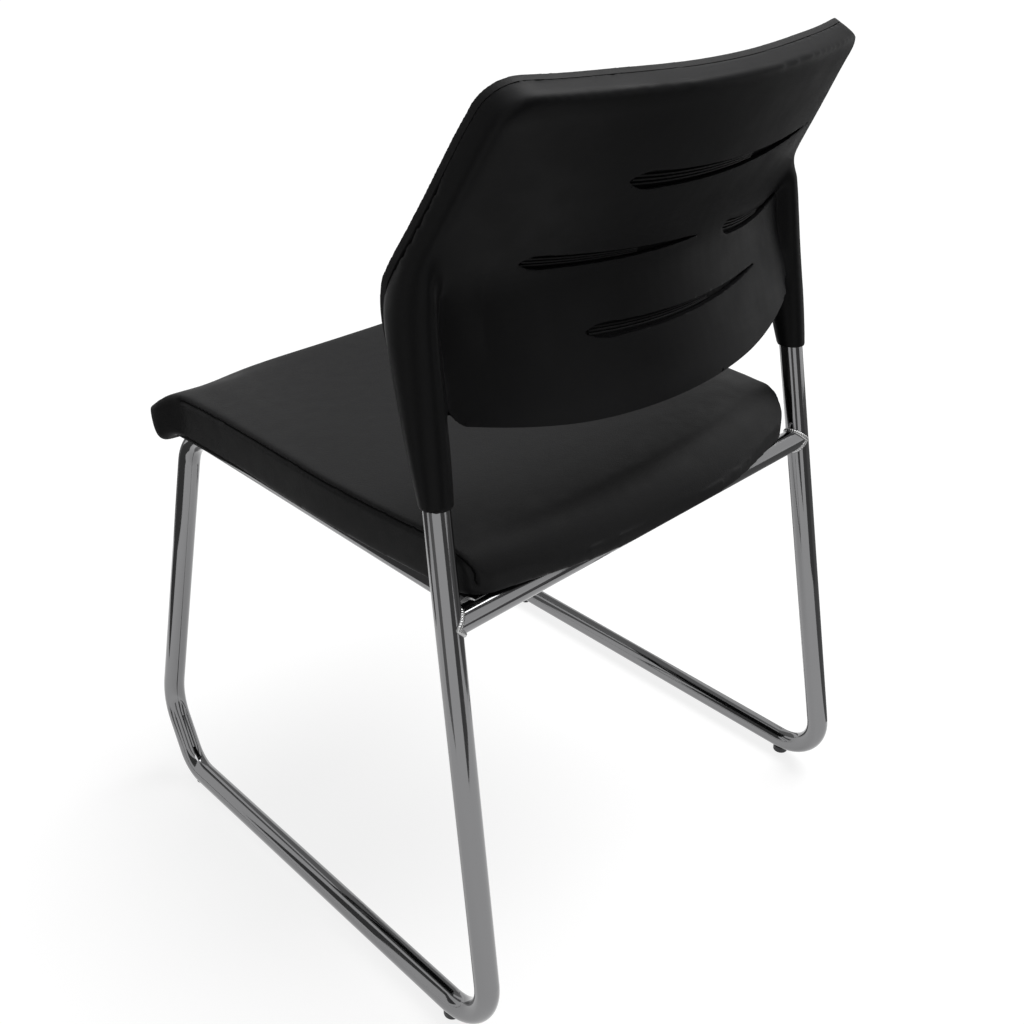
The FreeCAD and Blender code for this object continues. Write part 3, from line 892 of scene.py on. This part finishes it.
def side_seam(tree, side):
    """Points of the seam along one side of the seat: up the rear roll and along the edge to the front."""
    inward = Vector((-side, 0.0, 0.0))

    def wall(y, z):
        return tree.ray_cast(Vector((side * RAY_SIDE, y, z)), inward)[0]

    def edge(y):
        mid = wall(y, SEAT_MID_Z)
        if mid is None:
            return None
        above = Vector((mid.x - side * SEAM_INSET, y, RAY_START))
        return mid, tree.ray_cast(above, Vector((0.0, 0.0, -1.0)))[0]

    def run(direction):
        out = []
        y = 0.0
        while True:
            found = edge(y)
            if found is None or y < SEAM_FRONT_Y or (y > SEAM_CORNER_Y and abs(found[0].x) < SEAM_REAR_X):
                break
            z = found[1].z - sizes().seam_below
            hit = wall(y, z)
            if hit is not None:
                out.append(hit)
            y += direction * SEAM_STEP
        last = out[-1]
        z = last.z - SEAM_STEP
        while direction > 0.0 and z > SEAT_MID_Z - SEAM_TAIL:
            hit = wall(last.y, z)
            if hit is not None:
                out.append(hit)
            z -= SEAM_STEP
        return out

    path = list(reversed(run(1.0))) + run(-1.0)[1:]
    for _ in range(SEAM_EASE):
        path = path[:1] + [(a + b * 2 + c) / 4 for a, b, c in zip(path, path[1:], path[2:])] + path[-1:]
    return path


def roll_lip(co, low, s):
    """Shape the seat's front: dropped corners, a waist behind them and a round lip below the board."""
    side = ramp(np.abs(co[:, 0]), *CORNER_DROP_X) * ramp(co[:, 1], low.y + CORNER_DROP_Y, low.y)
    co[:, 2] -= s.corner_drop * side * ramp(co[:, 2], low.z + s.nose_height, low.z + CORNER_DROP_TOP)
    start, end = WAIST_START
    pull = s.waist * ramp(co[:, 1], low.y + start, low.y + end) * ramp(co[:, 1], *WAIST_FADE)
    co[:, 0] *= 1.0 - pull / WAIST_HALF
    ahead = np.clip((low.y + s.nose_depth - co[:, 1]) / s.nose_depth, 0.0, 1.0)
    reach = s.nose_height + s.nose_droop
    co[:, 2] -= s.nose_droop * ramp(ahead, 0.0, NOSE_GROWTH) * ramp(co[:, 2], low.z + s.nose_height, low.z)
    below = np.clip((low.z + s.nose_height - co[:, 2]) / reach, 0.0, 1.0)
    rolled = low.y + s.nose_depth * (1.0 - ahead * np.sqrt(1.0 - below ** 2 / 2))
    co[:, 1] = np.where(ahead > 0.0, rolled, co[:, 1])
    co[:, 2] += below * reach * (1.0 - np.sqrt(1.0 - ahead ** 2 / 2))


def press_seam(piece, paths, depth, width):
    """Pull a valley into the piece along its seams."""
    mesh = piece.data
    co = points_of(mesh)
    no = normals_of(mesh)
    away = distance_to(co, [p for path in paths for p in path])
    valley = depth * (1.0 - ramp(away, 0.0, width))
    set_points(mesh, co - no * valley[:, None])


def onto_surface(piece, paths, lift):
    """Lay seam lines on the finished surface."""
    tree = mesh_tree(piece)
    laid = []
    for path in paths:
        row = []
        for p in path:
            spot, normal, _, _ = tree.find_nearest(p)
            row.append(spot + normal * lift)
        laid.append(row)
    return laid


class CHAIR_OT_metal(bpy.types.Operator):
    """Chrome on the tubes and brackets, zinc on the screws"""
    bl_idname = "chair.metal"
    bl_label = "Metal frame"

    def execute(self, context):
        paint(chrome_finish(), "left_side_tube", "right_side_tube", "rear_cross_tube", "front_cross_tube",
              *[n for n in NODES if n.startswith("seat_bracket_")])
        paint(steel_finish(), "seat_screws", "seat_tee_nuts", "sleeve_screws")
        return {"FINISHED"}


class CHAIR_OT_welds(bpy.types.Operator):
    """Rippled weld beads round the ends of the rear cross tube"""
    bl_idname = "chair.welds"
    bl_label = "Weld beads"

    def execute(self, context):
        s = sizes()
        finish = weld_finish()
        bead = grow("rear_weld_ripples", [saddle(1), saddle(-1)], bead_tree(),
                    {"Step": s.bead_step, "Half length": s.bead_r, "Radius": s.bead_r}, finish)
        keep_piece(bead, "weld_bead", "rear_cross_welds")
        paint(finish, "rail_end_welds", "front_cross_welds", "bracket_welds")
        return {"FINISHED"}


class CHAIR_OT_seat(bpy.types.Operator):
    """Seat cushion: puffed cover with side seams and a drooping front lip"""
    bl_idname = "chair.seat"
    bl_label = "Seat cushion"

    def execute(self, context):
        s = sizes()
        seat = solid_copy("seat_cushion", "seat_cover")
        merge(seat, "seat_foam", "seat_board")
        even_skin(seat, s.seat_depth, 1)
        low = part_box("seat_cover")[0]
        co = points_of(seat.data)
        roll_lip(co, low, s)
        start, end = CORNER_Y
        corner = ramp(np.abs(co[:, 0]), *CORNER_X) * ramp(co[:, 1], low.y + start, low.y + end)
        co[:, 0] += np.sign(co[:, 0]) * CORNER_OUT * corner
        co[:, 1] -= CORNER_AHEAD * corner
        set_points(seat.data, co)
        ease(seat, CORNER_EASE, corner)
        co = points_of(seat.data)
        tree = mesh_tree(seat)
        seams = [side_seam(tree, side) for side in (1, -1)]
        near_seam = 1.0 - ramp(distance_to(co, seams[0] + seams[1]), *SEAM_HOLD)
        start, end = UNDER_HOLD
        under = 1.0 - ramp(co[:, 2], low.z + start, low.z + end)
        puff(seat, np.maximum(near_seam, under))
        finer(seat)
        press_seam(seat, seams, s.seam_depth, s.seam_width)
        smooth_faces(seat.data)
        dress(seat, leather_finish())
        keep_piece(seat, "cover", "seat_cover", "seat_foam")
        stitch = {"Step": s.stitch_step, "Half length": s.stitch_length / 2, "Radius": s.thread_r}
        rows = onto_surface(seat, seams, s.thread_r * THREAD_LIFT)
        thread = grow("seat_seam_stitches", rows, bead_tree(), stitch, thread_and_seam_shadow_finish())
        keep_piece(thread, "cover")
        # Near-black rod along each seam: a painted shadow line of the seam's groove
        rows = onto_surface(seat, seams, 0.0)
        line = grow("seat_seam_shadow_lines", rows, rod_tree(), {"Radius": s.seam_shadow_r}, thread_and_seam_shadow_finish())
        keep_piece(line, "cover")
        return {"FINISHED"}


class CHAIR_OT_underside(bpy.types.Operator):
    """Board, dust cloth, staples and spacers under the seat"""
    bl_idname = "chair.underside"
    bl_label = "Seat underside"

    def execute(self, context):
        s = sizes()
        paint(board_finish(), "seat_board")
        paint(dust_cloth_finish(), "seat_bottom_cloth")
        paint(rubber_finish(), "seat_spacers")
        low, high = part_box("seat_bottom_cloth")
        mesh = NODES["seat_bottom_cloth"].data
        edge = sorted({(round(v.co.x, 5), round(v.co.y, 5)) for v in mesh.vertices if v.co.z < low.z + 1e-4},
                      key=lambda p: math.atan2(p[1], p[0]))
        rim = [p for p in edge if math.hypot(p[0] / high.x, p[1] / high.y) > STAPLE_RIM]
        path = [Vector((x * STAPLE_INSET, y * STAPLE_INSET, low.z - STAPLE_GAP)) for x, y in rim]
        staple = {"Step": s.staple_step, "Half length": s.staple_l / 2, "Radius": STAPLE_R}
        staples = grow("underside_staples", [path + path[:1]], bead_tree(), staple, steel_finish())
        keep_piece(staples, "fastener_steel")
        return {"FINISHED"}


class CHAIR_OT_back_shell(bpy.types.Operator):
    """Moulded back with its sleeves, and the ribs seen in its slots"""
    bl_idname = "chair.back_shell"
    bl_label = "Back shell"

    def execute(self, context):
        s = sizes()
        shell = solid_copy("back_shell", "backrest_shell")
        merge(shell, "backrest_clips")
        close_bores(shell)
        even_skin(shell, s.shell_depth, 2)
        co = points_of(shell.data)
        no = normals_of(shell.data)
        out = np.abs(co[:, 0])
        joint = ramp(out, *JOINT_X) * ramp(co[:, 2], *JOINT_LOW_Z) * ramp(co[:, 2], *JOINT_TOP_Z)
        fill_hollows(shell, joint * ramp(no[:, 1], *JOINT_FACING), JOINT_FILL)
        ease(shell, JOINT_EASE, joint)
        away = distance_to(points_of(shell.data), creases("backrest_shell", upper_rim))
        ease(shell, RIM_EASE, 1.0 - ramp(away, RIM_CORE * s.rim_round, s.rim_round))
        snap(shell, creases("backrest_shell", lower_edge), s.edge_snap)
        smooth_faces(shell.data)
        shell.data.set_sharp_from_angle(angle=CREASE_ANGLE)
        dress(shell, shell_finish())
        keep_piece(shell, "shell_plastic", "backrest_shell")
        # Ribs in the slots, darkened as painted shade of the recesses
        rows = slot_paths(RIB_OFFSETS, RIB_LIFT)
        ribs = grow("slot_ribs", rows, rod_tree(), {"Radius": s.rib_r}, slot_rib_shade_finish())
        keep_piece(ribs, "shell_plastic")
        # Board behind the slots darkened as painted shade of the slot interiors
        paint(small_plastic_and_slot_shade_finish(), "backrest_board", "backrest_clips",
              "upright_plug_left", "upright_plug_right")
        return {"FINISHED"}


class CHAIR_OT_back_pad(bpy.types.Operator):
    """Thin upholstered pad on the front of the back"""
    bl_idname = "chair.back_pad"
    bl_label = "Back pad"

    def execute(self, context):
        s = sizes()
        pad = solid_copy("back_pad", "backrest_cover")
        merge(pad, "backrest_foam")
        even_skin(pad, s.pad_depth, 1)
        no = normals_of(pad.data)
        co = points_of(pad.data)
        rim = [Vector(p) for p in co[no[:, 1] > PAD_RIM_FACING]]
        puff(pad, 1.0 - ramp(distance_to(co, rim), *PAD_HOLD))
        smooth_faces(pad.data)
        pad.data.set_sharp_from_angle(angle=CREASE_ANGLE)
        dress(pad, bpy.data.materials["black_leather_cloth"])
        keep_piece(pad, "cover", "backrest_cover", "backrest_foam")
        return {"FINISHED"}


class CHAIR_OT_glides(bpy.types.Operator):
    """Plastic glides under the runners"""
    bl_idname = "chair.glides"
    bl_label = "Glides"

    def execute(self, context):
        paint(glide_finish(), *[n for n in NODES if n.startswith("glide_")])
        return {"FINISHED"}


def white_floor():
    """Pale floor that takes the chair's shadow and looks white to the camera and in the chrome."""
    f = Finish("pale_floor", (FLOOR_TONE,) * 3, 0.9, specular=0.0)
    f.shader.inputs["Emission Color"].default_value = WHITE
    f.tree.links.new(seen_ray(f.tree, FLOOR_SEEN), f.shader.inputs["Emission Strength"])
    return f.material


def seen_ray(tree, strength):
    """Strength for rays from the camera, mirrors and glass, and 0 for the rest."""
    path = tree.nodes.new("ShaderNodeLightPath")
    seen = path.outputs["Is Camera Ray"]
    for ray in ("Is Glossy Ray", "Is Transmission Ray"):
        either = tree.nodes.new("ShaderNodeMath")
        either.operation = "MAXIMUM"
        tree.links.new(seen, either.inputs[0])
        tree.links.new(path.outputs[ray], either.inputs[1])
        seen = either.outputs[0]
    level = tree.nodes.new("ShaderNodeMath")
    level.operation = "MULTIPLY"
    level.inputs[1].default_value = strength
    tree.links.new(seen, level.inputs[0])
    return level.outputs[0]


def grey_card(level):
    f = Finish("grey_card", (0.0, 0.0, 0.0), 1.0, specular=0.0)
    f.shader.inputs["Emission Color"].default_value = WHITE
    f.shader.inputs["Emission Strength"].default_value = level
    return f.material


def flat_panel(name, corners, material):
    mesh = bpy.data.meshes.new(name)
    mesh.from_pydata(corners, [], [tuple(range(len(corners)))])
    mesh.materials.append(material)
    panel = add_object(name, mesh)
    return panel


def aimed_lamp(name, kind, ahead):
    """A lamp that shines along a direction."""
    holder = bpy.data.objects.new(name, bpy.data.lights.new(name, kind))
    holder.rotation_euler = ahead.to_track_quat("-Z", "Y").to_euler()
    bpy.context.scene.collection.objects.link(holder)
    return holder


class CHAIR_OT_stage(bpy.types.Operator):
    """Pale floor, soft lamps, grey cards for the chrome, and the camera"""
    bl_idname = "chair.stage"
    bl_label = "Studio and camera"

    def execute(self, context):
        scene = context.scene
        s = scene.chair_stage
        scene.view_settings.view_transform = "Standard"
        h = s.floor_half
        flat_panel("floor", [(-h, -h, 0.0), (h, -h, 0.0), (h, h, 0.0), (-h, h, 0.0)], white_floor())
        self.world(scene)
        self.lamps()
        self.cards(s.card_radius)
        self.camera(scene, s)
        return {"FINISHED"}

    def world(self, scene):
        world = bpy.data.worlds.new("studio_air")
        world.use_nodes = True
        tree = world.node_tree
        air = tree.nodes["Background"]
        air.inputs["Color"].default_value = WHITE
        strength = tree.nodes.new("ShaderNodeMath")
        strength.operation = "ADD"
        strength.inputs[1].default_value = AIR_LIGHT
        tree.links.new(seen_ray(tree, AIR_SEEN), strength.inputs[0])
        tree.links.new(strength.outputs[0], air.inputs["Strength"])
        scene.world = world

    def lamps(self):
        sky = aimed_lamp("overhead_silk", "SUN", SKY_AHEAD)
        sky.data.energy = SKY_ENERGY
        sky.data.angle = SKY_ANGLE
        softbox = aimed_lamp("top_softbox", "AREA", SOFTBOX_TARGET - SOFTBOX_PLACE)
        softbox.location = SOFTBOX_PLACE
        softbox.data.shape = "RECTANGLE"
        softbox.data.size, softbox.data.size_y = SOFTBOX_SIZE
        softbox.data.energy = SOFTBOX_WATTS

    def cards(self, radius):
        """Grey cards that only mirrors see: upright ones with gaps between them, and two on the floor."""
        for i, (heading, width, level) in enumerate(CARDS):
            a = math.radians(heading)
            half = radius * math.tan(math.radians(width / 2))
            centre = Vector((math.sin(a) * radius, math.cos(a) * radius, CARD_FOOT))
            side = Vector((math.cos(a), -math.sin(a), 0.0)) * half
            up = Vector((0.0, 0.0, CARD_HEIGHT))
            corners = [centre - side, centre + side, centre + side + up, centre - side + up]
            self.card("card_%d" % i, corners, level)
        for i, (x0, x1, y0, y1, level) in enumerate(FLOOR_CARDS):
            corners = [(x, y, FLOOR_CARD_Z) for x, y in ((x0, y0), (x1, y0), (x1, y1), (x0, y1))]
            self.card("floor_card_%d" % i, corners, level)

    def card(self, name, corners, level):
        card = flat_panel(name, corners, grey_card(level))
        card.visible_camera = False
        card.visible_diffuse = False
        card.visible_shadow = False
        card.visible_transmission = False

    def camera(self, scene, s):
        lens = bpy.data.cameras.new("photo_camera")
        lens.sensor_width = 36.0
        lens.lens = s.lens
        lens.shift_x = s.shift_x
        lens.shift_y = s.shift_y
        level = math.cos(s.dip)
        ahead = Vector((math.sin(s.azimuth) * level, math.cos(s.azimuth) * level, -math.sin(s.dip)))
        right = ahead.cross(Vector((0.0, 0.0, 1.0))).normalized()
        up = right.cross(ahead)
        across = right * math.cos(s.roll) + up * math.sin(s.roll)
        upward = up * math.cos(s.roll) - right * math.sin(s.roll)
        turn = Matrix((across, upward, -ahead)).transposed().to_4x4()
        eye = bpy.data.objects.new("photo_camera", lens)
        eye.matrix_world = Matrix.Translation(s.eye) @ turn
        scene.collection.objects.link(eye)
        scene.camera = eye


class CHAIR_PT_panel(bpy.types.Panel):
    """Lists the chair's pieces and its settings"""
    bl_idname = "CHAIR_PT_panel"
    bl_label = "Visitor chair"
    bl_space_type = "VIEW_3D"
    bl_region_type = "UI"
    bl_category = "Chair"

    def draw(self, context):
        column = self.layout.column()
        for operator in OPERATORS:
            column.operator(operator.bl_idname)
        for name in ("chair_sizes", "chair_colours", "chair_stage"):
            group = getattr(context.scene, name)
            box = self.layout.box()
            for key in group.__annotations__:
                box.prop(group, key)


GROUPS = (("chair_sizes", ChairSizes), ("chair_colours", ChairColours), ("chair_stage", ChairStage))
OPERATORS = (CHAIR_OT_stage, CHAIR_OT_metal, CHAIR_OT_welds, CHAIR_OT_seat, CHAIR_OT_underside,
             CHAIR_OT_back_shell, CHAIR_OT_back_pad, CHAIR_OT_glides)


def register():
    for name, group in GROUPS:
        bpy.utils.register_class(group)
        setattr(bpy.types.Scene, name, PointerProperty(type=group))
    for operator in OPERATORS:
        bpy.utils.register_class(operator)
    bpy.utils.register_class(CHAIR_PT_panel)


def unregister():
    bpy.utils.unregister_class(CHAIR_PT_panel)
    for operator in reversed(OPERATORS):
        bpy.utils.unregister_class(operator)
    for name, group in reversed(GROUPS):
        delattr(bpy.types.Scene, name)
        bpy.utils.unregister_class(group)


def main():
    register()
    bpy.ops.chair.stage()
    bpy.ops.chair.metal()
    bpy.ops.chair.welds()
    bpy.ops.chair.seat()
    bpy.ops.chair.underside()
    bpy.ops.chair.back_shell()
    bpy.ops.chair.back_pad()
    bpy.ops.chair.glides()


if __name__ == "__main__":
    main()
